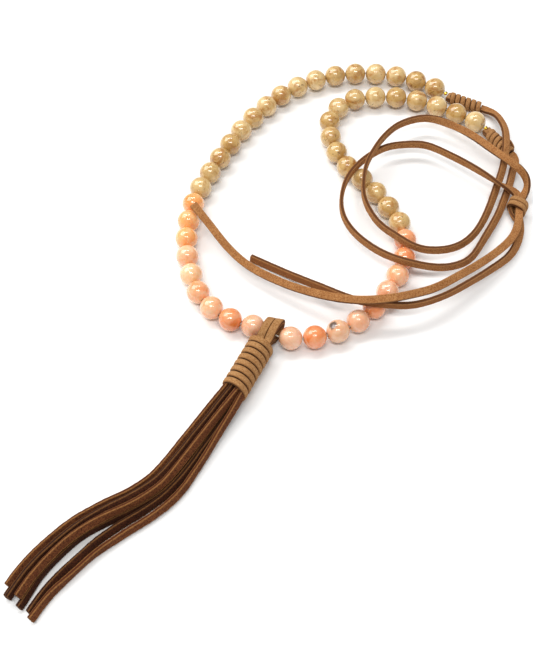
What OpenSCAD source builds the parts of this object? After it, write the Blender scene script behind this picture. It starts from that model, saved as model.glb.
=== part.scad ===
// Gemstone necklace lying on a table: a string of round stone beads with a wound
// suede tassel, tied behind the neck by two flat suede laces and a sliding knot.
// Millimetres, +Z up, the table is the plane z = 0.

/* [Beads] */
// Diameter of every stone bead
bead_d = 8; // [7:0.1:8.4]
// Free space between two neighbouring beads
bead_gap = 0.1; // [0.1:0.01:0.3]
// Diameter of the hole drilled through a bead
hole_d = 1.2; // [1:0.1:1.4]
// Diameter of the beading thread
thread_d = 0.5; // [0.4:0.1:0.6]

/* [Laces] */
// Width of the flat suede lace
lace_w = 2.8; // [2.4:0.1:3]
// Thickness of the flat suede lace
lace_t = 1.4; // [1.1:0.1:1.5]

/* [End wraps] */
// Turns of lace wound at each end of the string
wrap_turns = 6; // [5:1:7]
// Advance of the winding in one turn
wrap_pitch = 2.35; // [2:0.05:2.5]
// Outer diameter of an end wrap
wrap_d = 4.9; // [4.4:0.1:5.2]
// Length of the metal crimp beside the last bead
crimp_l = 1; // [0.8:0.1:1.2]
// Outer diameter of the crimp
crimp_d = 1.7; // [1.6:0.1:1.8]

/* [Sliding knot] */
// Width of the knot across the laces
knot_w = 7.2; // [6.6:0.1:7.6]
// Height of the knot above the table
knot_h = 6.4; // [6.2:0.1:6.8]
// Length of the knot along the laces
knot_l = 5.4; // [5:0.1:5.8]

/* [Tassel] */
// Turns of lace wound round the tassel head
head_turns = 8; // [7:1:9]
// Advance of the head winding in one turn
head_pitch = 2.65; // [2.5:0.05:2.7]
// Outer diameter of the head winding
head_d = 9.2; // [9:0.1:9.6]
// Thickness of one tassel strand
strand_t = 1.3; // [1:0.1:1.4]
// Width of one tassel strand, which stands on its edge
strand_w = 2.6; // [2.2:0.1:2.8]

/* [Hidden] */
peach_count = 9;
tan_count = 16;
bead_r = bead_d / 2;
bead_pitch = bead_d + bead_gap;
fit_gap = 0.15;
facets = 48;

// The string of beads is laid out from the tassel along two sides. Each table
// gives the heading of the string, in degrees, at every third bead.
heading_step = 3;
left_start = [-12.5, -12.5];
left_headings = [160, 109, 87, 66, 61, 46, 18, -10, -39];
right_start = [0, -17.3];
right_headings = [3, 45, 69, 116, 130, 91, 9, -23, -38];
tassel_gap_heading = atan2(right_start.y - left_start.y, right_start.x - left_start.x);

// Step from the last bead to its end wrap, and the heading of each wrap
wrap_reach = 6.5;
left_reach_heading = -33;
left_wrap_heading = -27;
right_reach_heading = -42;
right_wrap_heading = -57;
wrap_l = wrap_turns * wrap_pitch;
wrap_z = wrap_d / 2 + 0.05;
wrap_groove_w = 0.35;
wrap_groove_depth = 0.55;
fold_r = 1.45;
fold_out = 0.9;
fold_hole_depth = 1.4;

// Place and heading of the sliding knot
knot_at = [83.3, 40.3, 3.3];
knot_heading = -100;
knot_wall = 1.5;
knot_groove_w = 0.4;
knot_corner_r = 2.2;
knot_inner_w = 3.5;
knot_inner_h = 3.5;
knot_lace_step = 0.85;
knot_straight = 3.6;

// Routes of the two laces, [x, y, z, turn]: turn is 0 where the lace lies flat
// and 90 where it stands on its edge. Each leaves its end wrap, makes a loop,
// goes through the sliding knot and runs out to a free end.
left_lace_loop = [
    [80.5, 85.5, 4.4, 20], [82, 76, 6.6, 30], [81, 66.5, 6.8, 35], [79.4, 58.5, 5.4, 40],
    [76.6, 51, 3.2, 45], [71.7, 38.5, 3, 55], [65.8, 27.5, 4, 70], [58.6, 20, 6, 80],
    [50.5, 16.7, 8, 85], [44, 17, 9, 90], [39, 21, 8.8, 90], [31.5, 29.5, 7.4, 90],
    [27, 39.5, 8.4, 90], [27, 47.5, 9.8, 90], [28.3, 54.5, 10.6, 90], [31, 60.5, 11, 90],
    [35.5, 69, 9.8, 90], [42.5, 77.8, 7.8, 90], [53, 82, 7, 95], [62, 78.4, 7.4, 130],
    [69, 72.4, 8.4, 160], [75, 65.4, 9.4, 165], [79.5, 60.6, 9.6, 155], [84, 57, 8.4, 130],
    [87, 53.5, 6.4, 105], [87.5, 50, 4.4, 110], [86, 46.6, 2.8, 165]];
left_lace_tail = [
    [82.9, 31.5, 2.2, 195], [81, 25, 2.4, 210], [77.3, 18.3, 3, 235], [70.5, 11.8, 4.4, 255],
    [60.5, 3.5, 6.4, 265], [51, -3.5, 8.4, 270], [40.5, -7.5, 9, 270], [30, -7.2, 9.4, 270],
    [21, -4, 7.6, 265], [11, 3.2, 4.6, 260], [-0.5, 10.9, 2.1, 260], [-13.5, 18.5, 1.6, 260]];
right_lace_loop = [
    [84, 61, 3.2, 40], [81.5, 52.5, 2.6, 40], [79, 46, 2.4, 45], [75.5, 37.5, 2.4, 50],
    [70, 27.5, 3, 60], [63, 15.5, 5, 75], [56, 10.5, 7, 85], [49.5, 9, 8.4, 90],
    [42, 10, 9.3, 90], [34, 13.5, 8.9, 90], [28, 19, 7.6, 90], [22.5, 26, 6.8, 90],
    [19, 33.5, 7.4, 90], [19, 42, 8.4, 90], [21.5, 50, 8.9, 90], [26.5, 57.5, 8.6, 90],
    [31.5, 63, 7.4, 90], [37.5, 67.5, 6.4, 90], [45, 69, 6, 90], [52, 68.5, 6, 90],
    [60.5, 63.5, 6.6, 90], [67.5, 58.5, 7.6, 85], [73.5, 53, 8.2, 75], [77.5, 49.5, 7.2, 45],
    [82.7, 47, 4.6, 0]];
right_lace_tail = [
    [81.6, 31.5, 4.9, 5], [79.2, 25.6, 5.4, 10], [74.6, 19.7, 6.2, 20], [66.5, 12.2, 7.4, 30],
    [57.5, 5.2, 8.8, 30], [48.5, -1.4, 10.5, 25], [40, -5.5, 12.1, 20], [31.5, -7.9, 12.5, 15],
    [24, -7.9, 11.4, 15], [16, -5.9, 9.4, 15], [7.5, -2.2, 7.4, 20], [-1.5, 2.7, 6, 20],
    [-13.5, 11.4, 5.4, 25], [-21.5, 19.5, 6.2, 25], [-28, 28.6, 7.6, 20], [-34, 36.9, 8.8, 15]];
lace_rings = 78;
lace_chamfer = 0.3;

// Tassel: the winding starts beside the thread and the strands leave its far end
head_start = [-8.9, -19];
head_heading = -116.5;
head_l = head_turns * head_pitch;
head_wall = 1.3;
head_groove_w = 0.4;
head_groove_depth = 0.6;
core_r = head_d / 2 - head_wall - fit_gap;
core_out = 1.6;
loop_strip_w = 2.7;
loop_strip_t = 1.1;
loop_gap = 0.15;
loop_middle = [-6.8, -14.9];
loop_heading = 62;
loop_side_heading = -12;
// Side view of the loop over the thread, [along, height]
loop_profile = [
    [-9, 0.9], [-6.6, 0.9], [-4.6, 1], [-3, 2.1], [-1, 3.1], [1.6, 3.2], [4, 2.2],
    [4.8, 0.1], [3.7, -2], [1, -3], [-1.4, -2.8], [-3.2, -1.8], [-4.6, -1],
    [-6.6, -0.9], [-9, -0.9]];

// Middle line of the strands on the table
strand_spine = [
    [-18.5, -38.6], [-22.5, -46], [-27.5, -55], [-33, -63.5], [-39.5, -71], [-47.5, -76.5],
    [-56, -81.5], [-63.5, -87], [-70, -93.7], [-76, -101.5], [-80.8, -110.6]];
// One row for each strand: its distance to the right of the middle line at five
// even stations, its height at the same stations, and its share of the length
ACROSS = 0;
HEIGHT = 1;
SHARE = 2;
strands = [
    [[1.9, 4.4, 2.8, 4.1, 5.2], [5.9, 4.3, 4.2, 4.1, 3.4], 0.95],
    [[0.3, 2.9, 1.3, 2.7, 3], [6, 4.3, 4.2, 4.2, 4.1], 0.98],
    [[-1.3, 1.3, -0.3, 1.1, 0.6], [5.9, 4.3, 4.2, 4.2, 4.1], 0.965],
    [[2.3, 3.6, 2.1, 3.4, 4.3], [3, 1.6, 1.4, 1.4, 1.4], 0.975],
    [[0.7, 2.1, 0.5, 1.8, 1.8], [2.9, 1.6, 1.4, 1.4, 1.4], 0.95],
    [[-0.9, 0.5, -1.1, 0, -0.9], [2.9, 1.6, 1.4, 1.4, 1.4], 0.985],
    [[-2.5, -1.3, -3.1, -4.9, -4.1], [3.1, 1.6, 1.4, 1.4, 1.4], 0.985],
    [[-3.1, -3.3, -6.4, -8, -5.7], [5.6, 2.1, 1.5, 1.4, 1.4], 1]];
strand_rings = 26;

suede_tan = "#B4855A";
suede_brown = "#7A4526";
stone_tan = "#D9BE8F";
stone_peach = "#F2B592";
gold = "#C9A24A";
thread_white = "#E8E2D6";

function peach_name(side, k) = str("peach_bead_", side, "_", k);

// Helpers for directions and curves

function dir(a) = [cos(a), sin(a)];
function unit(v) = v / norm(v);
function at_z(p, z) = [p.x, p.y, z];

function spline(a, b, c, d, t) =
    0.5 * (2 * b + (c - a) * t + (2 * a - 5 * b + 4 * c - d) * t * t
    + (3 * b - 3 * c + d - a) * t * t * t);

// Smooth curve through all the points of a list, with a number of steps a span
function smooth(p, steps) =
    let (last = len(p) - 1)
    concat(
        [for (i = [0:last - 1])
            let (before = i == 0 ? 2 * p[0] - p[1] : p[i - 1])
            let (after = i == last - 1 ? 2 * p[last] - p[last - 1] : p[i + 2])
            for (s = [0:steps - 1]) spline(before, p[i], p[i + 1], after, s / steps)],
        [p[last]]);

function place3(p) = [p[0], p[1], p[2]];

// Running length of a list of points
function run_lengths(p, i = 0, total = 0, so_far = []) =
    i == len(p) ? so_far
    : let (now = i == 0 ? 0 : total + norm(place3(p[i]) - place3(p[i - 1])))
      run_lengths(p, i + 1, now, concat(so_far, [now]));

// Point of a curve at a length s along it, from its running lengths
function columns_of(p, run) = [for (c = [0:3]) [for (i = [0:len(p) - 1]) [run[i], p[i][c]]]];
function point_at(columns, s) = [for (c = [0:3]) lookup(s, columns[c])];

// The curve cut into rings an even length apart, each with its own direction
POINT = 0;
FORWARD = 1;
look_along = 0.4;
function even_rings(p, rings) =
    let (run = run_lengths(p))
    let (total = run[len(run) - 1])
    let (columns = columns_of(p, run))
    [for (r = [0:rings - 1])
        let (s = total * r / (rings - 1))
        let (ahead = place3(point_at(columns, min(s + look_along, total))))
        let (behind = place3(point_at(columns, max(s - look_along, 0))))
        [point_at(columns, s), unit(ahead - behind)]];

// Rings at the given points, each facing from the one before to the one after
function plain_rings(p) = [
    for (i = [0:len(p) - 1])
        [p[i], unit(place3(p[min(i + 1, len(p) - 1)]) - place3(p[max(i - 1, 0)]))]];

// Outline of a flat lace, seen along it, with its corners cut
function lace_outline(w, t, cut) =
    let (a = w / 2)
    let (b = t / 2)
    [[a, cut - b], [a, b - cut], [a - cut, b], [cut - a, b],
     [-a, b - cut], [-a, cut - b], [cut - a, -b], [a - cut, -b]];

function round_outline(d, sides) = [for (k = [0:sides - 1]) d / 2 * dir(k * 360 / sides)];

// A closed tube through rings of corners
module tube(corners, sides) {
    rings = len(corners) / sides;
    skin = [
        for (i = [0:rings - 2])
            for (k = [0:sides - 1])
                let (n = (k + 1) % sides)
                for (f = [[i * sides + k, i * sides + n, (i + 1) * sides + n],
                          [i * sides + k, (i + 1) * sides + n, (i + 1) * sides + k]]) f];
    caps = [
        [for (k = [sides - 1:-1:0]) k],
        [for (k = [0:sides - 1]) (rings - 1) * sides + k]];
    polyhedron(corners, concat(skin, caps), convexity = 10);
}

// An outline carried along rings of [[x, y, z, turn], direction]. The outline's
// wide way is level where turn is 0.
module swept(rings, outline) {
    tube([
        for (ring = rings)
            let (level = unit(cross(ring[FORWARD], [0, 0, 1])))
            let (rise = cross(level, ring[FORWARD]))
            let (turn = ring[POINT][3])
            let (wide = cos(turn) * level + sin(turn) * rise)
            let (thin = cos(turn) * rise - sin(turn) * level)
            for (q = outline) place3(ring[POINT]) + q.x * wide + q.y * thin], len(outline));
}

// A child drawn along +Z is turned to run from p towards q
module aimed(p, q) {
    v = q - p;
    translate(p)
        rotate([0, acos(v.z / norm(v)), atan2(v.y, v.x)])
            children();
}

// Layout of the string

function string_heading(table, k) =
    let (u = k / heading_step)
    let (i = min(floor(u), len(table) - 2))
    table[i] + (table[i + 1] - table[i]) * (u - i);

function string_centres(table, from, count, k = 0) =
    k == count ? []
    : concat([from],
        string_centres(table, from + bead_pitch * dir(string_heading(table, k)), count, k + 1));

bead_count = peach_count + tan_count;
left_centres = string_centres(left_headings, left_start, bead_count);
right_centres = string_centres(right_headings, right_start, bead_count);

// Heading of the hole in bead k: half way between its two neighbours
function hole_heading(table, first, last, k) =
    let (before = k == 0 ? first : string_heading(table, k - 1))
    let (after = k == bead_count - 1 ? last : string_heading(table, k))
    (before + after) / 2;

function left_hole(k) =
    hole_heading(left_headings, tassel_gap_heading + 180, left_reach_heading, k);
function right_hole(k) =
    hole_heading(right_headings, tassel_gap_heading, right_reach_heading, k);

left_wrap_start = left_centres[bead_count - 1] + wrap_reach * dir(left_reach_heading);
right_wrap_start = right_centres[bead_count - 1] + wrap_reach * dir(right_reach_heading);

// Points of the thread, which runs straight inside each bead. Its ends sit in the
// folds of the end wraps.
hole_reach = bead_r + 0.02;
thread_fold_z = wrap_z + 0.8;

function bead_thread(centre, heading) = [
    at_z(centre - hole_reach * dir(heading), bead_r),
    at_z(centre + hole_reach * dir(heading), bead_r)];

function fold_mouth(start, heading) = at_z(start - fold_out * dir(heading), thread_fold_z);
function fold_floor(start, heading) =
    at_z(start + (fold_hole_depth - fold_out - 0.2) * dir(heading), thread_fold_z);

left_thread = [for (k = [0:bead_count - 1]) for (p = bead_thread(left_centres[k], left_hole(k))) p];
right_thread = [for (k = [0:bead_count - 1]) for (p = bead_thread(right_centres[k], right_hole(k))) p];
thread_points = concat(
    [fold_floor(left_wrap_start, left_wrap_heading), fold_mouth(left_wrap_start, left_wrap_heading)],
    [for (i = [len(left_thread) - 1:-1:0]) left_thread[i]],
    right_thread,
    [fold_mouth(right_wrap_start, right_wrap_heading), fold_floor(right_wrap_start, right_wrap_heading)]);

// Layout of the laces

function wrap_end(start, heading, on) = at_z(start + (wrap_l + on) * dir(heading), wrap_z);
function through_knot(on, up, turn) =
    concat(at_z(place3(knot_at) + on * concat(dir(knot_heading), 0), knot_at.z + up), turn);

function lace_points(start, heading, loop, tail, up, turn) =
    let (face = wrap_end(start, heading, 0.05))
    let (lead = wrap_end(start, heading, 2.5))
    let (rings = even_rings(smooth(concat(
        [concat(face, 0), concat(lead, 0)], loop,
        [through_knot(-knot_straight, up, turn), through_knot(knot_straight, up, turn)],
        tail), 8), lace_rings))
    concat([[rings[0][POINT], concat(dir(heading), 0)]], [for (i = [1:lace_rings - 1]) rings[i]]);

// Layout of the tassel

function head_point(on, up) = at_z(head_start + on * dir(head_heading), head_d / 2 + up);

// The loop bends from the line of the head to the line across the thread
function loop_point(along, up) =
    let (over = loop_middle + along * dir(loop_heading))
    let (inside = head_start - (along + 5) * dir(head_heading))
    let (share = max(0, min(1, (along + 4.6) / 3.6)))
    at_z(inside + (over - inside) * share, (bead_r - head_d / 2) * share + head_d / 2 + up);

function loop_points(side) =
    let (middle = smooth([for (p = loop_profile) loop_point(p.x, p.y)], 3))
    [for (p = middle) p + side * concat(dir(loop_side_heading), 0)];

// The strip of the loop is swept in its own upright plane
module loop_strip(side) {
    across = concat(dir(loop_side_heading), 0);
    outline = lace_outline(loop_strip_w, loop_strip_t, 0.2);
    tube([
        for (ring = plain_rings(loop_points(side)))
            let (out = unit(cross(across, ring[FORWARD])))
            for (q = outline) ring[POINT] + q.x * across + q.y * out], len(outline));
}

spine = smooth(strand_spine, 4);

function stations(values) = smooth([for (v = values) [v]], 8);

function strand_points(row) =
    let (n = len(spine) - 1)
    let (across = stations(row[ACROSS]))
    let (height = stations(row[HEIGHT]))
    let (m = len(across) - 1)
    [for (r = [0:strand_rings - 1])
        let (u = row[SHARE] * r / (strand_rings - 1))
        let (i = min(floor(u * n), n - 1))
        let (here = spine[i] + (spine[i + 1] - spine[i]) * (u * n - i))
        let (forward = unit(spine[min(i + 2, n)] - spine[max(i - 1, 0)]))
        let (j = min(floor(u * m), m - 1))
        let (side = across[j][0] + (across[j + 1][0] - across[j][0]) * (u * m - j))
        let (up = height[j][0] + (height[j + 1][0] - height[j][0]) * (u * m - j))
        [here.x + side * forward.y, here.y - side * forward.x, up, 90]];

// Pieces

module bead(centre, heading) {
    translate(at_z(centre, bead_r))
        rotate([0, 90, heading])
            rotate_extrude($fn = facets)
                intersection() {
                    circle(d = bead_d, $fn = facets);
                    translate([hole_d / 2, -bead_r])
                        square([bead_r, bead_d]);
                }
}

module tan_string(centres, headings) {
    color(stone_tan)
        for (k = [peach_count:bead_count - 1])
            bead(centres[k], headings[k]);
}

module beading_thread() {
    color(thread_white)
        swept(plain_rings([for (p = thread_points) concat(p, 0)]), round_outline(thread_d, 6));
}

// Profile of a winding: bands of lace with a narrow groove after each turn
module winding(d, bore, length, pitch, turns, groove_w, groove_depth) {
    difference() {
        cylinder(d = d, h = length, $fn = facets);
        if (bore > 0)
            translate([0, 0, -1])
                cylinder(d = bore, h = length + 2, $fn = facets);
        for (k = [1:turns - 1])
            translate([0, 0, k * pitch - groove_w / 2])
                difference() {
                    cylinder(d = d + 1, h = groove_w, $fn = facets);
                    translate([0, 0, -1])
                        cylinder(d = d - 2 * groove_depth, h = groove_w + 2, $fn = facets);
                }
    }
}

// The lace end is folded round the thread and bound by its own turns
module end_wrap(start, heading) {
    color(suede_tan)
        translate(at_z(start, wrap_z))
            rotate([0, 0, heading])
                difference() {
                    union() {
                        rotate([0, 90, 0])
                            winding(wrap_d, 0, wrap_l, wrap_pitch, wrap_turns,
                                wrap_groove_w, wrap_groove_depth);
                        translate([fold_r - fold_out, 0, 0])
                            rotate([90, 0, 0])
                                cylinder(r = fold_r, h = lace_w, center = true, $fn = facets);
                    }
                    translate([-fold_out - 1, 0, thread_fold_z - wrap_z])
                        rotate([0, 90, 0])
                            cylinder(d = hole_d, h = fold_hole_depth + 1, $fn = facets);
                }
}

module crimp(centre, heading, start, wrap_heading) {
    out = at_z(centre + bead_r * dir(heading), bead_r);
    mouth = fold_mouth(start, wrap_heading);
    middle = (out + mouth) / 2;
    color(gold)
        aimed(middle, mouth)
            difference() {
                cylinder(d = crimp_d, h = crimp_l, center = true, $fn = facets);
                cylinder(d = hole_d, h = crimp_l + 1, center = true, $fn = facets);
            }
}

module lace(start, heading, loop, tail, up, turn) {
    color(suede_tan)
        swept(lace_points(start, heading, loop, tail, up, turn),
            lace_outline(lace_w, lace_t, lace_chamfer));
}

module rounded(w, h, r) {
    square([w, h - 2 * r], center = true);
    square([w - 2 * r, h], center = true);
    for (x = [-1, 1], y = [-1, 1])
        translate([x * (w / 2 - r), y * (h / 2 - r)])
            circle(r, $fn = facets);
}

// Two turns of lace round both laces, which slide through the middle
module sliding_knot() {
    band = (knot_l - knot_groove_w) / 2;
    color(suede_tan)
        translate(knot_at)
            rotate([0, 0, knot_heading])
                rotate([90, 0, 90])
                    difference() {
                        union() {
                            for (z = [-knot_l / 2, knot_groove_w / 2])
                                translate([0, 0, z])
                                    linear_extrude(band)
                                        rounded(knot_w, knot_h, knot_corner_r);
                            linear_extrude(knot_l - 0.2, center = true)
                                rounded(knot_w - knot_wall, knot_h - knot_wall, knot_corner_r - 0.6);
                        }
                        cube([knot_inner_w, knot_inner_h, knot_l + 1], center = true);
                    }
}

module tassel() {
    strip = (loop_strip_w + loop_gap) / 2;
    color(suede_brown) {
        aimed(head_point(-0.2, 0), head_point(1, 0))
            cylinder(r = core_r, h = head_l + core_out, $fn = 24);
        for (side = [-strip, strip])
            loop_strip(side);
        for (row = strands)
            swept(plain_rings(strand_points(row)), lace_outline(strand_w, strand_t, 0.25));
    }
}

module tassel_wrap() {
    color(suede_tan)
        aimed(head_point(0, 0), head_point(1, 0))
            winding(head_d, head_d - 2 * head_wall, head_l, head_pitch, head_turns,
                head_groove_w, head_groove_depth);
}

beading_thread();
tan_string(left_centres, [for (k = [0:bead_count - 1]) left_hole(k)]);  // tan_beads_left
tan_string(right_centres, [for (k = [0:bead_count - 1]) right_hole(k)]);  // tan_beads_right
for (k = [1:peach_count]) {
    color(stone_peach) bead(left_centres[k - 1], left_hole(k - 1));
    color(stone_peach) bead(right_centres[k - 1], right_hole(k - 1));
}
crimp(left_centres[bead_count - 1], left_hole(bead_count - 1), left_wrap_start, left_wrap_heading);  // crimp_left
crimp(right_centres[bead_count - 1], right_hole(bead_count - 1), right_wrap_start, right_wrap_heading);  // crimp_right
end_wrap(left_wrap_start, left_wrap_heading);  // end_wrap_left
end_wrap(right_wrap_start, right_wrap_heading);  // end_wrap_right
lace(left_wrap_start, left_wrap_heading, left_lace_loop, left_lace_tail, -knot_lace_step, 180);  // lace_left
lace(right_wrap_start, right_wrap_heading, right_lace_loop, right_lace_tail, knot_lace_step, 0);  // lace_right
sliding_knot();
tassel();
tassel_wrap();
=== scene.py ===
"""Gemstone necklace on a pale table: drilled stone beads on a thread, a wound suede
tassel, and two flat suede laces that run through a sliding knot. The CAD model gives
the frame. Numbers named *_mm are millimetres, everything else is in metres."""
import math
import random

import bpy
from mathutils import Matrix, Vector, noise


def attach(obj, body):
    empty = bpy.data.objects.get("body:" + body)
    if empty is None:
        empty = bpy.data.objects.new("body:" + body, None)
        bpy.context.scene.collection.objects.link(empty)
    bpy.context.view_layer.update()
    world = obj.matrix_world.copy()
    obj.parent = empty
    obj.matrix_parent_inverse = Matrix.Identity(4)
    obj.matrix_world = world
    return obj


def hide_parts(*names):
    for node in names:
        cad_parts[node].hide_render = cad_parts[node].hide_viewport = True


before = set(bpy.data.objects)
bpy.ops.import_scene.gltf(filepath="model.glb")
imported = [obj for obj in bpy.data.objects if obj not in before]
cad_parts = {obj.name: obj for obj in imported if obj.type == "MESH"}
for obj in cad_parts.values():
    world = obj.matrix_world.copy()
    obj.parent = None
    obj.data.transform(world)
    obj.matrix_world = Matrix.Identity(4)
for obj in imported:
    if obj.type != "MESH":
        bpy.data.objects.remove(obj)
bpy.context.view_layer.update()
for each in bpy.context.selected_objects:
    each.select_set(False)

MM = 0.001
UP = Vector((0, 0, 1))


def along(degrees):
    """Level unit vector at a heading."""
    return Vector((math.cos(math.radians(degrees)), math.sin(math.radians(degrees)), 0))


# ---- Camera: 55 degrees above the table, looking at the middle of the necklace

VIEW_ELEVATION = 55
CAMERA_AWAY_MM = 390
PHOTO_W_PX = 533
FOCAL_LENGTH_PX = 1150
SENSOR_W_MM = 36

look_at_mm = Vector((-8, -9, 0))
back = Vector((0, -math.cos(math.radians(VIEW_ELEVATION)), math.sin(math.radians(VIEW_ELEVATION))))
camera = bpy.data.objects.new("camera", bpy.data.cameras.new("camera"))
bpy.context.scene.collection.objects.link(camera)
camera.location = (look_at_mm + CAMERA_AWAY_MM * back) * MM
camera.rotation_euler = (math.radians(90 - VIEW_ELEVATION), 0, 0)
camera.data.sensor_fit = "HORIZONTAL"
camera.data.sensor_width = SENSOR_W_MM
camera.data.lens = FOCAL_LENGTH_PX / PHOTO_W_PX * SENSOR_W_MM
camera.data.clip_start = 0.01
bpy.context.scene.camera = camera

# ---- Sizes and places, as in the CAD source. Only the drilled hole is narrower here,
# 0.9 mm instead of 1.2 mm, because it hardly shows between the stones.

BEAD_R_MM = 4
BEAD_PITCH_MM = 8.1
HOLE_R_MM = 0.45
THREAD_D_MM = 0.5
LACE_W_MM = 2.8
LACE_T_MM = 1.4
PEACH_COUNT = 9
BEAD_COUNT = 25

LEFT_START = (-12.5, -12.5)
LEFT_HEADINGS = (160, 109, 87, 66, 61, 46, 18, -10, -39)
RIGHT_START = (0, -17.3)
RIGHT_HEADINGS = (3, 45, 69, 116, 130, 91, 9, -23, -38)
TASSEL_GAP_HEADING = math.degrees(math.atan2(-17.3 + 12.5, 12.5))

WRAP_D_MM = 4.9
WRAP_TURNS = 6
WRAP_PITCH_MM = 2.35
WRAP_L_MM = WRAP_TURNS * WRAP_PITCH_MM
WRAP_Z_MM = WRAP_D_MM / 2 + 0.05
WRAP_REACH_MM = 6.5
LEFT_REACH_HEADING = -33
LEFT_WRAP_HEADING = -27
RIGHT_REACH_HEADING = -42
RIGHT_WRAP_HEADING = -57
FOLD_OUT_MM = 0.9
THREAD_LIFT_MM = 0.8

KNOT_AT_MM = Vector((83.3, 40.3, 3.3))
KNOT_HEADING = -100
KNOT_W_MM = 7.2
KNOT_H_MM = 6.4
KNOT_L_MM = 5.4
KNOT_LACE_STEP_MM = 0.85
KNOT_STRAIGHT_MM = 3.6

HEAD_START_MM = Vector((-8.9, -19, 0))
HEAD_HEADING = -116.5
HEAD_D_MM = 9.2
HEAD_TURNS = 8
HEAD_PITCH_MM = 2.65
HEAD_L_MM = HEAD_TURNS * HEAD_PITCH_MM


TABLE_STRIDE = 3


def string_heading(table, k):
    """Heading of the string after bead k, from a table with every third bead."""
    i = min(k // TABLE_STRIDE, len(table) - 2)
    return table[i] + (table[i + 1] - table[i]) * (k / TABLE_STRIDE - i)


def string_places(table, start, first, last):
    """Centre and hole heading of each bead, counted from the tassel."""
    centre, places = Vector((*start, BEAD_R_MM)), []
    for k in range(BEAD_COUNT):
        before = first if k == 0 else string_heading(table, k - 1)
        after = last if k == BEAD_COUNT - 1 else string_heading(table, k)
        places.append((centre.copy(), (before + after) / 2))
        centre += BEAD_PITCH_MM * along(string_heading(table, k))
    return places


left_places = string_places(LEFT_HEADINGS, LEFT_START, TASSEL_GAP_HEADING + 180, LEFT_REACH_HEADING)
right_places = string_places(RIGHT_HEADINGS, RIGHT_START, TASSEL_GAP_HEADING, RIGHT_REACH_HEADING)


def wrap_start(places, reach_heading):
    start = places[-1][0] + WRAP_REACH_MM * along(reach_heading)
    return Vector((start.x, start.y, WRAP_Z_MM))


def fold_mouth(start, heading):
    """Where the thread enters the folded lace end."""
    return start - FOLD_OUT_MM * along(heading) + UP * THREAD_LIFT_MM


left_wrap_start = wrap_start(left_places, LEFT_REACH_HEADING)
right_wrap_start = wrap_start(right_places, RIGHT_REACH_HEADING)

# ---- Curves


def smooth(points, steps):
    """Smooth curve through all the points, as tuples of any length."""
    n = len(points) - 1
    made = []
    for i in range(n):
        a = points[i - 1] if i else [2 * p - q for p, q in zip(points[0], points[1])]
        b, c = points[i], points[i + 1]
        d = points[i + 2] if i < n - 1 else [2 * p - q for p, q in zip(points[n], points[n - 1])]
        for s in range(steps):
            t = s / steps
            made.append([0.5 * (2 * q + (r - p) * t + (2 * p - 5 * q + 4 * r - u) * t * t
                                + (3 * q - 3 * r + u - p) * t ** 3)
                         for p, q, r, u in zip(a, b, c, d)])
    made.append(list(points[n]))
    return made


def evenly(points, step):
    """The same line with points an even distance apart."""
    run = [0.0]
    for p, q in zip(points, points[1:]):
        run.append(run[-1] + (Vector(q[:3]) - Vector(p[:3])).length)
    count = max(2, round(run[-1] / step) + 1)
    made, i = [], 0
    for k in range(count):
        s = run[-1] * k / (count - 1)
        while i < len(run) - 2 and run[i + 1] < s:
            i += 1
        t = (s - run[i]) / max(run[i + 1] - run[i], 1e-9)
        made.append([p + (q - p) * t for p, q in zip(points[i], points[i + 1])])
    return made


def direction(points, i):
    """Unit vector along a line at its point i, from the points on both sides."""
    ahead, behind = points[min(i + 1, len(points) - 1)], points[max(i - 1, 0)]
    return (Vector(ahead[:3]) - Vector(behind[:3])).normalized()


def facing(points):
    """Each point of a line with its direction, wide way and thin way. A point's
    fourth number is its turn: 0 lies flat, 90 stands on its edge."""
    rings = []
    for i, p in enumerate(points):
        forward = direction(points, i)
        level = forward.cross(UP).normalized()
        rise = level.cross(forward)
        a = math.radians(p[3])
        rings.append((Vector(p[:3]), math.cos(a) * level + math.sin(a) * rise,
                      math.cos(a) * rise - math.sin(a) * level))
    return rings


# ---- Suede lace: one mesh swept along its rings


FRAY_W_MM = 0.13


def lace_outline(width, thick, corner, crown):
    """Cross-section of a cut lace, as (wide, thin, cut, rim): cut is 1 on the two
    cut edges, and rim is 1 at the corners, where the fibres fray."""
    a, b = width / 2, thick / 2
    quarter = [(a, 0, 1, 0), (a, b - corner - FRAY_W_MM, 1, 0)]
    for t, cut in ((0, 1), (45, 0.6), (90, 0)):
        turn = math.radians(t)
        quarter.append((a - corner + corner * math.cos(turn), b - corner + corner * math.sin(turn),
                        cut, 1 if t == 45 else 0.7))
    quarter += [(a - corner - FRAY_W_MM, b + crown * 0.3, 0, 0), (a * 0.4, b + crown, 0, 0)]
    top = quarter + [(-x, y, cut, rim) for x, y, cut, rim in reversed(quarter[1:])]
    return top + [(-x, -y, cut, rim) for x, y, cut, rim in top]


TABLE_GAP_MM = 0.02
END_ROUNDING_MM = 0.12
END_SHARE = 0.86


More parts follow.
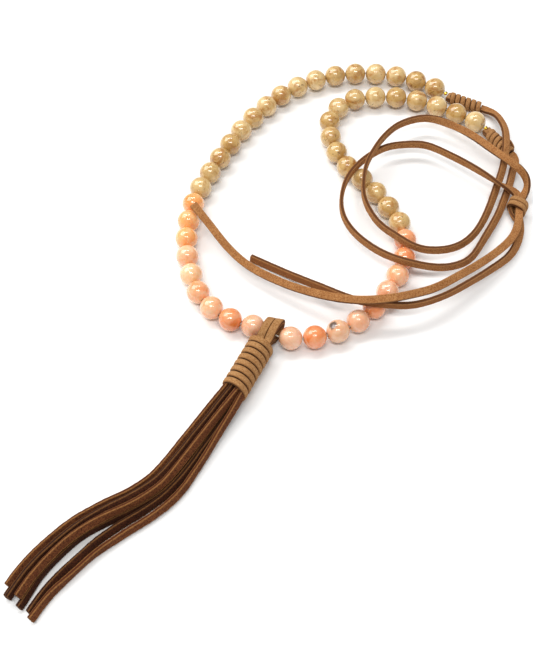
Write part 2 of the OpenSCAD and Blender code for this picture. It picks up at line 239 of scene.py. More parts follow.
def lace_piece(name, rings, width, thick, corner=0.24, nap=0.045, seed=0, crown=0.03):
    """A length of lace as a closed mesh. The attribute nap holds cut, rim and the
    distance along it, and the surface is a little uneven, as brushed suede is. corner
    is the radius of the slit corners, and crown is how far the faces bulge."""
    outline = lace_outline(width, thick, corner, crown)
    sides = len(outline)
    shift = Vector((seed * 7.31, seed * 3.7, seed * 1.9))
    verts, marks, stack, run = [], [], [], 0.0
    for i, (centre, wide, thin) in enumerate(rings):
        if i:
            run += (centre - rings[i - 1][0]).length
        if i == 0:
            inner = centre + (rings[1][0] - centre).normalized() * END_ROUNDING_MM
            stack.append((centre, wide, thin, END_SHARE, run))
            stack.append((inner, wide, thin, 1, run))
        elif i == len(rings) - 1:
            inner = centre - (centre - rings[i - 1][0]).normalized() * END_ROUNDING_MM
            stack.append((inner, wide, thin, 1, run))
            stack.append((centre, wide, thin, END_SHARE, run))
        else:
            stack.append((centre, wide, thin, 1, run))
    for centre, wide, thin, scale, s in stack:
        swell = 1 + 0.05 * noise.noise(Vector((s * 0.09, seed * 5.1, 0.3)))
        for x, y, cut, rim in outline:
            p = centre + wide * (x * scale * swell) + thin * (y * scale)
            bump = noise.noise(p * 0.95 + shift) + 0.6 * noise.noise(p * 2.3 + shift)
            p = p + (wide * (x / width) + thin * (y / thick)).normalized() * (bump * nap * scale)
            p.z = max(p.z, TABLE_GAP_MM)
            verts.append(p * MM)
            marks.append((cut if scale == 1 else 1, rim if scale == 1 else 0.5, s * MM, 1))
    faces = []
    for i in range(len(stack) - 1):
        for k in range(sides):
            n = (k + 1) % sides
            faces.append((i * sides + n, i * sides + k, (i + 1) * sides + k, (i + 1) * sides + n))
    faces.append(tuple(range(sides)))
    faces.append(tuple((len(stack) - 1) * sides + k for k in reversed(range(sides))))
    mesh = bpy.data.meshes.new(name)
    mesh.from_pydata(verts, [], faces)
    layer = mesh.attributes.new("nap", "FLOAT_COLOR", "POINT")
    layer.data.foreach_set("color", [c for m in marks for c in m])
    mesh.shade_smooth()
    piece = bpy.data.objects.new(name, mesh)
    bpy.context.scene.collection.objects.link(piece)
    mend_normals(piece)
    return piece


def mend_normals(piece):
    """Turns all faces outwards with the edit tools."""
    bpy.ops.object.select_all(action="DESELECT")
    bpy.context.view_layer.objects.active = piece
    piece.select_set(True)
    bpy.ops.object.mode_set(mode="EDIT")
    bpy.ops.mesh.select_all(action="SELECT")
    bpy.ops.mesh.normals_make_consistent(inside=False)
    bpy.ops.object.mode_set(mode="OBJECT")
    piece.select_set(False)


# ---- The two laces, on the routes of the CAD source: x, y, z, turn

LEFT_LACE_LOOP = (
    (80.5, 85.5, 4.4, 20), (82, 76, 6.6, 30), (81, 66.5, 6.8, 35), (79.4, 58.5, 5.4, 40),
    (76.6, 51, 3.2, 45), (71.7, 38.5, 3, 55), (65.8, 27.5, 4, 70), (58.6, 20, 6, 80),
    (50.5, 16.7, 8, 85), (44, 17, 9, 90), (39, 21, 8.8, 90), (31.5, 29.5, 7.4, 90),
    (27, 39.5, 8.4, 90), (27, 47.5, 9.8, 90), (28.3, 54.5, 10.6, 90), (31, 60.5, 11, 90),
    (35.5, 69, 9.8, 90), (42.5, 77.8, 7.8, 90), (53, 81.8, 7, 95), (62, 77.8, 7.2, 130),
    (69, 71.6, 8, 160), (75, 64.3, 8.7, 165), (79.6, 59.3, 8.9, 155), (84.2, 55.6, 7.8, 130),
    (87.2, 52.4, 5.9, 105), (87.5, 49.4, 4.2, 110), (86, 46.4, 2.8, 165))
LEFT_LACE_TAIL = (
    (82.9, 31.5, 2.2, 195), (81, 25, 2.4, 210), (77.3, 18.3, 3, 235), (70.5, 11.8, 4.4, 255),
    (60.5, 3.5, 6.4, 265), (51, -3.5, 8.4, 270), (40.5, -7.5, 9, 270), (30, -7.2, 9.4, 270),
    (21, -4, 7.6, 265), (11, 3.2, 4.6, 260), (-0.5, 10.9, 2.1, 260), (-13.5, 18.5, 1.6, 260))
RIGHT_LACE_LOOP = (
    (84, 61, 3.2, 40), (81.5, 52.5, 2.6, 40), (79, 46, 2.4, 45), (75.5, 37.5, 2.4, 50),
    (70, 27.5, 3, 60), (63, 15.5, 5, 75), (56, 10.5, 7, 85), (49.5, 9, 8.4, 90),
    (42, 10, 9.3, 90), (34, 13.5, 8.9, 90), (28, 19, 7.6, 90), (22.5, 26, 6.8, 90),
    (19, 33.5, 7.4, 90), (19, 42, 8.4, 90), (21.5, 50, 8.9, 90), (26.5, 57.5, 8.6, 90),
    (31.5, 63, 7.4, 90), (37.5, 67.5, 6.4, 90), (45, 69, 6, 90), (52, 68.5, 6, 90),
    (60.5, 62.7, 6.4, 90), (67.3, 57, 6.9, 85), (73.3, 51.4, 7.1, 75), (77.4, 48.3, 6.4, 45),
    (82.6, 46.7, 4.5, 0))
RIGHT_LACE_TAIL = (
    (81.6, 31.5, 4.9, 5), (79.2, 25.6, 5.4, 10), (74.6, 19.7, 6.2, 20), (66.5, 12.2, 7.4, 30),
    (57.5, 5.2, 8.8, 30), (48.5, -1.4, 10.5, 25), (40, -5.3, 12.1, 20), (31.5, -7.4, 12.5, 15),
    (24, -7.2, 11.5, 15), (16, -5, 9.7, 15), (7.5, -1.3, 7.8, 20), (-1.5, 3.5, 6.2, 20),
    (-13.5, 11.4, 5.4, 25), (-21.5, 19.5, 6.2, 25), (-28, 28.6, 7.6, 20), (-34, 36.9, 8.8, 15))


def through_knot(on, up, turn):
    """A point of a route at a distance on from the knot's middle."""
    p = KNOT_AT_MM + on * along(KNOT_HEADING)
    return (p.x, p.y, p.z + up, turn)


def relaxed(line, reach, rounds):
    """The line with its corners eased, as the stiffness of suede does. Each point
    moves to the mean of those within reach on both sides; the ends stay."""
    for _ in range(rounds):
        made = []
        for i in range(len(line)):
            k = min(reach, i, len(line) - 1 - i)
            near = line[i - k:i + k + 1]
            made.append([sum(p[c] for p in near) / len(near) for c in range(4)])
        line = made
    return line


LACE_STEP_MM = 0.6
LACE_IN_WRAP_MM = 1
LACE_LEAD_MM = 2.5


def lace(name, start, heading, loop, tail, up, turn, seed):
    """A lace from inside its end wrap, straight out, round its loop, through the knot
    and on to its cut end. Returns the piece and the path of its middle line."""
    face = start + (WRAP_L_MM - LACE_IN_WRAP_MM) * along(heading)
    lead = start + (WRAP_L_MM + LACE_LEAD_MM) * along(heading)
    route = ((*face, 0), (*lead, 0), *loop, through_knot(-KNOT_STRAIGHT_MM, up, turn),
             through_knot(KNOT_STRAIGHT_MM, up, turn), *tail)
    line = evenly(relaxed(evenly(smooth(route, 24), LACE_STEP_MM), 4, 2), LACE_STEP_MM)
    piece = lace_piece(name, facing(line), LACE_W_MM, LACE_T_MM, seed=seed)
    path = [Vector(p[:3]) * MM for p in line]
    return piece, path


lace_left, left_path = lace("suede_lace_left", left_wrap_start, LEFT_WRAP_HEADING,
                            LEFT_LACE_LOOP, LEFT_LACE_TAIL, -KNOT_LACE_STEP_MM, 180, 1)
lace_right, right_path = lace("suede_lace_right", right_wrap_start, RIGHT_WRAP_HEADING,
                              RIGHT_LACE_LOOP, RIGHT_LACE_TAIL, KNOT_LACE_STEP_MM, 0, 2)

# ---- Windings: lace wound edge to edge round a round or flattened middle


RINGS_A_TURN = 30


def wound_rings(start, heading, half_w, half_h, squareness, pitch, length, strip_w, phase,
                hand, seed, strip_t, droop=35, sag=0.9):
    """Rings of a lace wound along a level axis, over a length of that axis. half_w
    and half_h are the outer half sizes; squareness 2 is an ellipse, 4 nearly a box.
    phase is the angle at the first ring, 0 at the side and 90 on top; hand is the
    sense of the winding. Over droop degrees at each end the lace sinks by sag mm."""
    axis = along(heading)
    side = axis.cross(UP)
    turns = (length - strip_w) / pitch
    rings, steps = [], int(turns * RINGS_A_TURN)
    for i in range(steps + 1):
        angle = 360 * turns * i / steps
        a = math.radians(phase + hand * angle)
        c, s = math.cos(a), math.sin(a)
        reach = (abs(c) ** squareness + abs(s) ** squareness) ** (-1 / squareness)
        tuck = max(0, 1 - angle / droop, 1 - (360 * turns - angle) / droop)
        uneven = 0.1 * (noise.noise(Vector((angle * 0.011, seed * 2.7, 0))) - 0.5)
        out = reach + (uneven - sag * tuck ** 2 - strip_t / 2) / ((half_w + half_h) / 2)
        drift = 0.12 * noise.noise(Vector((angle * 0.008, seed * 4.1, 7)))
        at = start + axis * (strip_w / 2 + pitch * angle / 360 + drift)
        at = at + side * (c * half_w * out) + UP * (s * half_h * out)
        rings.append([at, side * c / half_w + UP * s / half_h, angle])
    made = []
    for i, (at, radial, angle) in enumerate(rings):
        forward = direction([ring[0] for ring in rings[max(i - 1, 0):i + 2]], min(i, 1))
        thin = (radial - forward * radial.dot(forward)).normalized()
        wide = forward.cross(thin)
        tilt = math.radians(7 * noise.noise(Vector((angle * 0.009, seed * 1.3, 4.2))))
        turned = Matrix.Rotation(tilt, 3, forward)
        made.append((at, turned @ wide, turned @ thin))
    return made


def middle(name, start, heading, length, radius, ends=0.35):
    """The bundle inside a winding: a cylinder whose ends are bevelled round."""
    bpy.ops.object.select_all(action="DESELECT")
    centre = (start + along(heading) * (length / 2)) * MM
    bpy.ops.mesh.primitive_cylinder_add(vertices=32, radius=radius * MM, depth=length * MM,
                                        location=centre, rotation=(0, math.pi / 2, 0))
    piece = bpy.context.object
    piece.rotation_euler = (0, math.pi / 2, math.radians(heading))
    piece.name = name
    bpy.ops.object.transform_apply(location=True, rotation=True, scale=True)
    soften = piece.modifiers.new("round ends", "BEVEL")
    soften.width = ends * MM
    soften.segments = 3
    soften.limit_method = "ANGLE"
    bpy.ops.object.modifier_apply(modifier=soften.name)
    bpy.ops.object.shade_smooth_by_angle(angle=math.radians(40))
    piece.select_set(False)
    return piece


WRAP_STRIP_MM = 1.86
WRAP_STRIP_T_MM = 1.05
WRAP_FRONT_MM = 0.5
FOLD_W_MM = 3.3
FOLD_T_MM = 1.15


def end_wrap(side, start, heading, fold_reach, seed):
    """The lace end is folded flat round the thread, and its own turns bind the fold,
    which shows as a small rounded cap before the first turn. The turns start and end
    on the underside."""
    axis = along(heading)
    length = WRAP_L_MM + WRAP_FRONT_MM
    half = WRAP_D_MM / 2 - 0.1
    rings = wound_rings(start - axis * WRAP_FRONT_MM, heading, half, half, 2,
                        (length - WRAP_STRIP_MM) / WRAP_TURNS, length, WRAP_STRIP_MM, 270,
                        -1, seed, WRAP_STRIP_T_MM)
    turns = lace_piece(f"end_wrap_{side}_turns", rings, WRAP_STRIP_MM, WRAP_STRIP_T_MM, 0.34,
                       0.05, seed, crown=0.08)
    fold_line = [start + axis * a + UP * z for a, z in
                 ((3, 0.62), (0.5, 0.62), (-fold_reach, 0.6), (-0.28 - fold_reach, 0.32),
                  (-0.35 - fold_reach, 0), (-0.28 - fold_reach, -0.32), (-fold_reach, -0.6),
                  (0.5, -0.62), (3, -0.62))]
    line = evenly(smooth([tuple(p) for p in fold_line], 8), 0.15)
    across = axis.cross(UP)
    fold_rings = []
    for i, p in enumerate(line):
        fold_rings.append((Vector(p), across, direction(line, i).cross(across)))
    fold = lace_piece(f"end_wrap_{side}_fold", fold_rings, FOLD_W_MM, FOLD_T_MM, 0.4, 0.03,
                      seed + 11)
    core = middle(f"end_wrap_{side}_core", start + axis * 0.4, heading, WRAP_L_MM - 1.8, 1.7)
    return turns, fold, core


wrap_left = end_wrap("left", left_wrap_start, LEFT_WRAP_HEADING, 0.1, 21)
wrap_right = end_wrap("right", right_wrap_start, RIGHT_WRAP_HEADING, 1.0, 22)

# The cut end of the binding, where it comes out of the last turn of the right wrap
nub_line = [(82.4, 73.4, 4.1, 50), (83.4, 72.4, 4, 60), (84.1, 71, 3.7, 70),
            (84.5, 69.5, 3.4, 75)]
wrap_right_nub = lace_piece("end_wrap_right_nub", facing(evenly(smooth(nub_line, 6), 0.3)),
                            2, 1.5, 0.45, seed=31)

# ---- Sliding knot: turns of lace round both laces, and their tucked end

KNOT_LEAN = -16
KNOT_PITCH_MM = 2.3
KNOT_STRIP_MM = 2.1
BAND_T_MM = 1.3
KNOT_SHIFT_MM = Vector((-0.6, 0.4, 0))

knot_axis = KNOT_HEADING + KNOT_LEAN
knot_start = KNOT_AT_MM + KNOT_SHIFT_MM - along(knot_axis) * (KNOT_L_MM / 2 + 0.5)
knot_turns = lace_piece(
    "knot_turns",
    wound_rings(knot_start, knot_axis, KNOT_W_MM / 2 + 0.1, KNOT_H_MM / 2, 2.4, KNOT_PITCH_MM,
                KNOT_L_MM + 1, KNOT_STRIP_MM, -60, 1, 41, BAND_T_MM, droop=30, sag=0.6),
    KNOT_STRIP_MM, BAND_T_MM, 0.36, 0.05, 41, crown=0.08)
tuck_line = [(82.2, 42.6, 2.4, 40), (80.7, 41.2, 2.2, 55), (80.4, 39, 2, 65),
             (81.1, 36.8, 1.8, 70), (82.3, 35.2, 1.6, 75)]
knot_tuck = lace_piece("knot_tuck", facing(evenly(smooth(tuck_line, 8), 0.4)), 2.6, BAND_T_MM,
                       seed=42)

# ---- Tassel: head winding, loop over the thread, strands on the table

HEAD_STRIP_MM = 2.16
HEAD_MOUTH_MM = 1.5

head_axis_start = Vector((HEAD_START_MM.x, HEAD_START_MM.y, HEAD_D_MM / 2))
head_turns = lace_piece(
    "tassel_head_turns",
    wound_rings(head_axis_start, HEAD_HEADING, HEAD_D_MM / 2, HEAD_D_MM / 2, 2,
                (HEAD_L_MM + HEAD_MOUTH_MM - HEAD_STRIP_MM) / HEAD_TURNS,
                HEAD_L_MM + HEAD_MOUTH_MM, HEAD_STRIP_MM, 250, 1, 51, BAND_T_MM),
    HEAD_STRIP_MM, BAND_T_MM, 0.34, 0.06, 51, crown=0.07)
head_core = middle("tassel_core", head_axis_start + along(HEAD_HEADING) * 0.8, HEAD_HEADING,
                   HEAD_L_MM - 3, 3.3, 0.5)

LOOP_MIDDLE = Vector((-6.8, -14.9, 0))
LOOP_HEADING = 62
LOOP_SIDE_HEADING = -12
LOOP_PROFILE = (
    (-9, 0.9), (-6.6, 0.9), (-4.6, 1), (-3, 2.1), (-1, 3.1), (1.6, 3.2), (4, 2.2),
    (4.8, 0.1), (3.7, -2), (1, -3), (-1.4, -2.8), (-3.2, -1.8), (-4.6, -1),
    (-6.6, -0.9), (-9, -0.9))


def loop_point(on, up):
    over = LOOP_MIDDLE + on * along(LOOP_HEADING)
    inside = HEAD_START_MM - (on + 5) * along(HEAD_HEADING)
    share = max(0, min(1, (on + 4.6) / 3.6))
    p = inside + (over - inside) * share
    return (p.x, p.y, (BEAD_R_MM - HEAD_D_MM / 2) * share + HEAD_D_MM / 2 + up)


def loop_strip(name, off, inset, seed):
    """A strip of the loop in its own upright plane, or the layer that lies inside it."""
    across = along(LOOP_SIDE_HEADING)
    line = evenly(smooth([loop_point(*p) for p in LOOP_PROFILE], 10), 0.4)
    rings = []
    for i, p in enumerate(line):
        out = direction(line, i).cross(across).normalized()
        rings.append((Vector(p) + across * off + out * inset, across, out))
    if inset:
        rings = rings[12:-12]
    return lace_piece(name, rings, 2.75, 1.9 if inset else 1.1, 0.26, 0.05, seed)


loop_left = loop_strip("tassel_loop_left", -1.425, 0, 61)
loop_right = loop_strip("tassel_loop_right", 1.425, 0, 62)
loop_inner = [loop_strip(f"tassel_loop_inner_{k + 1}", off, 1.55, 63 + k)
              for k, off in enumerate((-1.45, 1.4))]

STRAND_SPINE = (
    (-18.5, -38.6), (-22.5, -46), (-27.5, -55), (-33, -63.5), (-39.5, -71), (-47.5, -76.5),
    (-56, -81.5), (-63.5, -87), (-70, -93.7), (-76, -101.5), (-80.8, -110.6))
# Each strand: its distance to the right of the middle line, its height and its turn
# at five even stations, and its share of the length
STRANDS = (
    ((2.7, 5.3, 3.9, 4.7, 5.3), (5.6, 3.5, 3.3, 3.1, 2.8), (62, 56, 66, 54, 44), 0.95),
    ((0.8, 3.1, 1.5, 2.5, 3), (6.2, 4.2, 4.4, 3.6, 3.4), (66, 60, 46, 68, 72), 0.98),
    ((-1.2, 1, -0.6, 0.3, 0.6), (6.1, 4.3, 4.1, 4.2, 3.6), (76, 48, 70, 46, 58), 0.965),
    ((2.5, 4.1, 2.3, 3.6, 4.3), (3, 1.5, 1.4, 1.4, 1.4), (90, 84, 86, 90, 80), 0.975),
    ((0.8, 2.3, 0.6, 1.9, 1.9), (2.9, 1.5, 1.4, 1.4, 1.4), (90, 90, 90, 90, 84), 0.95),
    ((-0.9, 0.2, -1.5, -0.3, -0.9), (2.9, 1.5, 1.4, 1.4, 1.4), (90, 84, 72, 80, 66), 0.985),
    ((-2.5, -1.3, -3.4, -5.1, -4.3), (3.4, 1.5, 1.5, 1.5, 1.4), (80, 66, 62, 48, 70), 0.985),
    ((-3.1, -3.3, -6.5, -7.6, -5.9), (5.4, 2.1, 1.5, 1.4, 1.4), (60, 70, 64, 84, 58), 1))
UPPER_STRANDS = (0, 2, 7)
STRAND_W_MM = 2.6
STRAND_T_MM = 1.3
STRAND_STEPS = 72
STRAND_IN_HEAD_MM = 4.0

spine = smooth(STRAND_SPINE, 4)


def station(values, u):
    """Value at a share u of the length, on the smooth curve through the stations."""
    curve = smooth([(v,) for v in values], 8)
    x = u * (len(curve) - 1)
    i = min(int(x), len(curve) - 2)
    return curve[i][0] + (curve[i + 1][0] - curve[i][0]) * (x - i)


def strand(name, row, seed):
    """One strand beside the middle line, as its row says, with a slight waver."""
    across, height, turns, share = row
    n = len(spine) - 1
    points = []
    for r in range(STRAND_STEPS + 1):
        u = share * r / STRAND_STEPS
        i = min(int(u * n), n - 1)
        here = Vector(spine[i]) + (Vector(spine[i + 1]) - Vector(spine[i])) * (u * n - i)
        forward = (Vector(spine[min(i + 2, n)]) - Vector(spine[max(i - 1, 0)])).normalized()
        waver = 0.22 * noise.noise(Vector((u * 9, seed * 3.3, 1)))
        side = station(across, u) + waver * min(1, 8 * u)
        turn = station(turns, u) + 8 * noise.noise(Vector((u * 7, seed, 5)))
        points.append((here.x + side * forward.y, here.y - side * forward.x,
                       station(height, u), turn))
    # the strand starts inside the head
    inwards = -STRAND_IN_HEAD_MM * along(HEAD_HEADING)
    inside = (points[0][0] + inwards.x, points[0][1] + inwards.y, points[0][2], points[0][3])
    line = evenly(smooth([inside] + points, 2), 0.6)
    return lace_piece(name, facing(line), STRAND_W_MM, STRAND_T_MM, 0.28, 0.07, seed)


strands = [strand(f"tassel_strand_{k + 1}", row, 70 + k) for k, row in enumerate(STRANDS)]

# ---- Beads: one drilled bead is modelled, and copied to each place

HOLE_CHAMFER_MM = 0.08
OUT_OF_ROUND = 0.012


def drilled_bead():
    """A ball whose poles are cut away, bridged by the wall of the hole, with a
    small chamfer that the drill leaves at each mouth."""
    bpy.ops.object.select_all(action="DESELECT")
    bpy.ops.mesh.primitive_uv_sphere_add(segments=40, ring_count=34, radius=BEAD_R_MM * MM)
    piece = bpy.context.object
    piece.name = "bead_pattern"
    mesh = piece.data
    bpy.ops.object.mode_set(mode="EDIT")
    bpy.ops.mesh.select_mode(type="VERT")
    bpy.ops.mesh.select_all(action="DESELECT")
    bpy.ops.object.mode_set(mode="OBJECT")
    for v in mesh.vertices:
        v.select = math.hypot(v.co.x, v.co.y) < 0.95 * HOLE_R_MM * MM
    bpy.ops.object.mode_set(mode="EDIT")
    bpy.ops.mesh.delete(type="VERT")
    bpy.ops.mesh.select_mode(type="EDGE")
    bpy.ops.mesh.select_all(action="SELECT")
    bpy.ops.mesh.region_to_loop()
    bpy.ops.mesh.bridge_edge_loops()
    bpy.ops.object.mode_set(mode="OBJECT")
    # the hole's rim is drawn in to its own radius before the chamfer
    for v in mesh.vertices:
        r = math.hypot(v.co.x, v.co.y)
        if r < 1.2 * HOLE_R_MM * MM:
            v.co.x *= HOLE_R_MM * MM / r
            v.co.y *= HOLE_R_MM * MM / r
    bpy.ops.object.mode_set(mode="EDIT")
    bpy.ops.mesh.select_all(action="DESELECT")
    bpy.ops.object.mode_set(mode="OBJECT")
    rims = {v.index for v in mesh.vertices
            if math.hypot(v.co.x, v.co.y) < 1.05 * HOLE_R_MM * MM}
    for e in mesh.edges:
        a, b = e.vertices
        e.select = a in rims and b in rims and mesh.vertices[a].co.z * mesh.vertices[b].co.z > 0
    bpy.ops.object.mode_set(mode="EDIT")
    bpy.ops.mesh.bevel(offset=HOLE_CHAMFER_MM * MM, segments=2)
    bpy.ops.mesh.select_all(action="SELECT")
    bpy.ops.mesh.normals_make_consistent(inside=False)
    bpy.ops.object.mode_set(mode="OBJECT")
    bpy.ops.object.shade_smooth_by_angle(angle=math.radians(50))
    piece.select_set(False)
    return piece


bead_pattern = drilled_bead()


def place_bead(name, centre, heading, seed):
    """A copy of the drilled bead, turned about its hole and a touch out of round."""
    piece = bead_pattern.copy()
    piece.data = bead_pattern.data.copy()
    piece.name = piece.data.name = name
    bpy.context.scene.collection.objects.link(piece)
    chance = random.Random(seed)
    worn = (1 - OUT_OF_ROUND * chance.random(), 1 - OUT_OF_ROUND * chance.random())
    out = Matrix.Diagonal((*worn, 1, 1))
    turn = (Matrix.Rotation(math.radians(heading), 4, "Z") @ Matrix.Rotation(math.pi / 2, 4, "Y")
            @ Matrix.Rotation(chance.random() * math.tau, 4, "Z"))
    piece.data.transform(Matrix.Translation(centre * MM) @ turn @ out)
    return piece


beads = {}
for side, places in (("left", left_places), ("right", right_places)):
    for k, (centre, hole) in enumerate(places):
        kind, number = ("peach", k + 1) if k < PEACH_COUNT else ("tan", k + 1 - PEACH_COUNT)
        name = f"stone_{kind}_{side}_{number}"
        beads[name] = place_bead(name, centre, hole, 100 * (side == "left") + k)
bpy.data.objects.remove(bead_pattern)

# ---- Thread, with the two plies of a twisted beading cord

INTO_FOLD_MM = 1.2
PAST_HOLE_MM = 0.02
PLY_LAY_MM = 1.6


def thread_stops(places):
    """Both mouths of each stone's hole, which the thread runs straight between."""
    stops = []
    for centre, hole in places:
        reach = (BEAD_R_MM + PAST_HOLE_MM) * along(hole)
        stops += [centre - reach, centre + reach]
    return stops


fold_left = fold_mouth(left_wrap_start, LEFT_WRAP_HEADING)
fold_right = fold_mouth(right_wrap_start, RIGHT_WRAP_HEADING)
thread_line = ([fold_left + INTO_FOLD_MM * along(LEFT_WRAP_HEADING), fold_left]
               + thread_stops(left_places)[::-1] + thread_stops(right_places)
               + [fold_right, fold_right + INTO_FOLD_MM * along(RIGHT_WRAP_HEADING)])


def twisted_thread(name, stops, diameter, lay):
    """Two plies laid round each other, swept as one grooved section."""
    line = evenly([tuple(p) for p in stops], 0.35)
    sides, verts, faces, run = 10, [], [], 0.0
    for i, p in enumerate(line):
        forward = direction(line, i)
        level = forward.cross(UP).normalized()
        rise = level.cross(forward)
        run += (Vector(p) - Vector(line[i - 1])).length if i else 0
        for k in range(sides):
            a = math.tau * k / sides
            r = diameter / 2 * (0.86 + 0.14 * abs(math.cos(a - math.tau * run / lay)))
            verts.append((Vector(p) + level * (r * math.cos(a)) + rise * (r * math.sin(a))) * MM)
        if i:
            for k in range(sides):
                n = (k + 1) % sides
                faces.append(((i - 1) * sides + k, (i - 1) * sides + n, i * sides + n, i * sides + k))
    faces += [tuple(range(sides)), tuple((len(line) - 1) * sides + k for k in reversed(range(sides)))]
    mesh = bpy.data.meshes.new(name)
    mesh.from_pydata(verts, [], faces)
    mesh.shade_smooth()
    piece = bpy.data.objects.new(name, mesh)
    bpy.context.scene.collection.objects.link(piece)
    mend_normals(piece)
    return piece


thread = twisted_thread("twisted_thread", thread_line, THREAD_D_MM, PLY_LAY_MM)

# ---- Crimps: short metal tubes pressed on the thread

CRIMP_R_MM = 0.85
CRIMP_L_MM = 1.0
CRIMP_WALL_MM = 0.24
CRIMP_LIP_MM = 0.1
CRIMP_PRESSED = 0.93


def crimp(name, places, start, heading):
    """A tube midway between the last stone and the folded lace end."""
    centre, hole = places[-1]
    out = centre + BEAD_R_MM * along(hole)
    mouth = fold_mouth(start, heading)
    at, way = (out + mouth) / 2, (mouth - out).normalized()
    bpy.ops.object.select_all(action="DESELECT")
    bpy.ops.mesh.primitive_cylinder_add(vertices=28, radius=CRIMP_R_MM * MM,
                                        depth=CRIMP_L_MM * MM, end_fill_type="NOTHING")
    piece = bpy.context.object
    piece.name = name
    wall = piece.modifiers.new("wall", "SOLIDIFY")
    wall.thickness = CRIMP_WALL_MM * MM
    wall.offset = -1
    bpy.ops.object.modifier_apply(modifier=wall.name)
    lip = piece.modifiers.new("rolled lip", "BEVEL")
    lip.width = CRIMP_LIP_MM * MM
    lip.segments = 3
    lip.limit_method = "ANGLE"
    bpy.ops.object.modifier_apply(modifier=lip.name)
    # pressed a little flat by the pliers
    turn = way.to_track_quat("Z", "Y").to_matrix().to_4x4()
    piece.data.transform(Matrix.Translation(at * MM) @ turn
                         @ Matrix.Diagonal((1, CRIMP_PRESSED, 1, 1)))
    mend_normals(piece)
    piece.select_set(True)
    bpy.ops.object.shade_smooth_by_angle(angle=math.radians(35))
    piece.select_set(False)
    return piece


crimp_left = crimp("gold_crimp_left", left_places, left_wrap_start, LEFT_WRAP_HEADING)
crimp_right = crimp("gold_crimp_right", right_places, right_wrap_start, RIGHT_WRAP_HEADING)

# ---- Materials


def paint(hex_colour):
    """Linear colour of an sRGB hex value."""
    parts = [int(hex_colour[i:i + 2], 16) / 255 for i in (1, 3, 5)]
    return [c / 12.92 if c <= 0.04045 else ((c + 0.055) / 1.055) ** 2.4 for c in parts] + [1]


def node(tree, kind, inputs=(), **settings):
    """Adds a node. inputs maps a socket's name or number to a value or a socket."""
    made = tree.nodes.new(kind)
    for key, value in settings.items():
        setattr(made, key, value)
    for key, value in dict(inputs).items():
        if isinstance(value, bpy.types.NodeSocket):
            tree.links.new(value, made.inputs[key])
        else:
            made.inputs[key].default_value = value
    return made


def new_material(name):
    made = bpy.data.materials.new(name)
    made.use_nodes = True
    made.node_tree.nodes.clear()
    return made, made.node_tree


def finish_material(made, shader):
    tree = made.node_tree
    node(tree, "ShaderNodeOutputMaterial", {"Surface": shader.outputs[0]})
    return made


def blend_colours(tree, factor, a, b):
    made = node(tree, "ShaderNodeMix", {0: factor, 6: a, 7: b}, data_type="RGBA")
    return made.outputs[2]


def suede(name, face, face_deep, face_pale, cut, rim, darker_from_mm=None):
    """Split cowhide suede, buffed to a short nap: it has no gloss, brushed fibres
    catch light at its outline, and it is mottled where the nap lies two ways. The
    slit edges are dense and darker, with pale frayed fibres along the corners. The
    nap is drawn coarser than its real 0.1 mm, so that it shows in the render. A lace
    may have painted shade near its end: it is drawn darker there, where it stands on edge in shade."""
    made, tree = new_material(name)
    place = node(tree, "ShaderNodeTexCoord").outputs["Object"]
    marks = node(tree, "ShaderNodeAttribute", attribute_name="nap")
    parts = node(tree, "ShaderNodeSeparateColor", {"Color": marks.outputs["Color"]})
    speck = node(tree, "ShaderNodeTexNoise", {"Vector": place, "Scale": 1 / (0.55 * MM),
                                              "Detail": 3.0, "Roughness": 0.65})
    patch = node(tree, "ShaderNodeTexNoise", {"Vector": place, "Scale": 1 / (6 * MM),
                                              "Detail": 2.0})
    grain = node(tree, "ShaderNodeTexNoise", {"Vector": place, "Scale": 1 / (0.38 * MM),
                                              "Detail": 2.0})
    sharp = node(tree, "ShaderNodeMapRange", {"Value": speck.outputs[0], "From Min": 0.36,
                                              "From Max": 0.62})
    broad = node(tree, "ShaderNodeMapRange", {"Value": patch.outputs[0], "From Min": 0.35,
                                              "From Max": 0.65})
    fine = node(tree, "ShaderNodeMapRange", {"Value": grain.outputs[0], "From Min": 0.42,
                                             "From Max": 0.6})
    ground = blend_colours(tree, sharp.outputs[0], paint(face_deep), paint(face))
    pale = node(tree, "ShaderNodeMath", {0: fine.outputs[0], 1: 0.6}, operation="MULTIPLY")
    ground = blend_colours(tree, pale.outputs[0], ground, paint(face_pale))
    worn = node(tree, "ShaderNodeMath", {0: broad.outputs[0], 1: 0.35}, operation="MULTIPLY")
    ground = blend_colours(tree, worn.outputs[0], ground, paint(face_deep))
    # painted shade: the lace turns darker from darker_from_mm along it on, where its end stands on edge in
    # shade
    if darker_from_mm:
        end_shade = node(tree, "ShaderNodeMapRange", {
            "Value": parts.outputs[2], "From Min": darker_from_mm * MM,
            "From Max": (darker_from_mm + 40) * MM, "To Max": 0.75})
        ground = blend_colours(tree, end_shade.outputs[0], ground, paint(face_deep))
    edge = blend_colours(tree, parts.outputs[0], ground, paint(cut))
    tufts = node(tree, "ShaderNodeMapRange", {"Value": grain.outputs[0], "From Min": 0.3,
                                              "From Max": 0.6, "To Min": 0.3, "To Max": 0.8})
    frayed = node(tree, "ShaderNodeMath", {0: parts.outputs[1], 1: tufts.outputs[0]},
                  operation="MULTIPLY")
    colour = blend_colours(tree, frayed.outputs[0], edge, paint(rim))
    height = node(tree, "ShaderNodeMath", {0: speck.outputs[0], 1: grain.outputs[0]},
                  operation="ADD")
    bump = node(tree, "ShaderNodeBump", {"Height": height.outputs[0], "Strength": 0.55,
                                         "Distance": 0.25 * MM})
    shader = node(tree, "ShaderNodeBsdfPrincipled", {
        "Base Color": colour, "Roughness": 0.92, "Specular IOR Level": 0.2,
        "Sheen Weight": 0.25, "Sheen Roughness": 0.5, "Sheen Tint": paint(face_pale),
        "Normal": bump.outputs[0]})
    return finish_material(made, shader)


